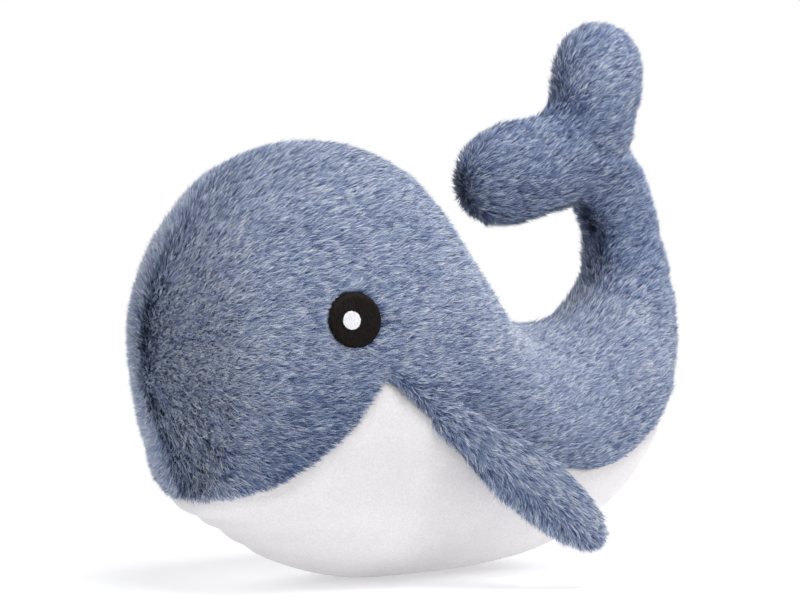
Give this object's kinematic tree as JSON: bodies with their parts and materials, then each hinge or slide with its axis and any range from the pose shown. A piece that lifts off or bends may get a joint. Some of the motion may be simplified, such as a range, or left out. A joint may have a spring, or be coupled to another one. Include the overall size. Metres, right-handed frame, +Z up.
{
  "type": "plush whale",
  "caption": "Stuffed toy whale of blue plush with a white velour belly, embroidered eyes, side fins and a curled, forked tail that flexes.",
  "frame": {"origin": "on the ground, under the middle of the toy's box", "axes": "+X from the nose towards the tail, +Z up, the whale's left side towards -Y"},
  "size_m": [0.251, 0.1578, 0.2286],
  "materials": {
    "denim_plush": "short mottled pile, 5 mm",
    "white_velour": "smooth velour",
    "stuffing": "loose polyester fibre",
    "black_thread": "satin stitch embroidery",
    "white_thread": "satin stitch embroidery"
  },
  "bodies": {
    "body": {"left_side_panel": "denim_plush", "right_side_panel": "denim_plush", "belly_panel": "white_velour", "body_filling": "stuffing", "left_eye_patch": "black_thread", "left_eye_highlight": "white_thread", "right_eye_patch": "black_thread", "right_eye_highlight": "white_thread"},
    "tail": {"tail_left_panel": "denim_plush", "tail_right_panel": "denim_plush", "tail_filling": "stuffing"},
    "fork": {"fork_left_panel": "denim_plush", "fork_right_panel": "denim_plush", "fork_filling": "stuffing"},
    "front_fluke": {"front_fluke_left_panel": "denim_plush", "front_fluke_right_panel": "denim_plush", "front_fluke_filling": "stuffing"},
    "top_fluke": {"top_fluke_left_panel": "denim_plush", "top_fluke_right_panel": "denim_plush", "top_fluke_filling": "stuffing"},
    "left_fin": {"left_fin_upper_panel": "denim_plush", "left_fin_under_panel": "denim_plush", "left_fin_filling": "stuffing"},
    "right_fin": {"right_fin_upper_panel": "denim_plush", "right_fin_under_panel": "denim_plush", "right_fin_filling": "stuffing"}
  },
  "joints": [
    {"name": "tail_curl", "type": "hinge", "parent": "body", "child": "tail", "pos_m": [0.10445, 0, 0.10453], "axis": [0, 1, 0], "range_deg": [-8, 15], "stiffness_Nm_per_rad": 0.6},
    {"name": "tail_wag", "type": "hinge", "parent": "tail", "child": "fork", "pos_m": [0.10097, 0, 0.13555], "axis": [0.9945, 0, -0.1045], "range_deg": [-18, 18], "stiffness_Nm_per_rad": 0.3},
    {"name": "front_fluke_flex", "type": "hinge", "parent": "fork", "child": "front_fluke", "pos_m": [0.05115, 0, 0.16603], "axis": [0.1736, 0, -0.9848], "range_deg": [-15, 15], "stiffness_Nm_per_rad": 0.05},
    {"name": "top_fluke_flex", "type": "hinge", "parent": "fork", "child": "top_fluke", "pos_m": [0.08718, 0, 0.19895], "axis": [-0.9848, 0, 0.1736], "range_deg": [-15, 15], "stiffness_Nm_per_rad": 0.05},
    {"name": "left_fin_flap", "type": "hinge", "parent": "body", "child": "left_fin", "pos_m": [-0.02117, -0.06076, 0.07045], "axis": [-0.616, 0.1439, -0.7745], "range_deg": [-5, 60], "stiffness_Nm_per_rad": 0.04},
    {"name": "right_fin_flap", "type": "hinge", "parent": "body", "child": "right_fin", "pos_m": [-0.02117, 0.06076, 0.07045], "axis": [0.616, 0.1439, 0.7745], "range_deg": [-5, 60], "stiffness_Nm_per_rad": 0.04}
  ]
}
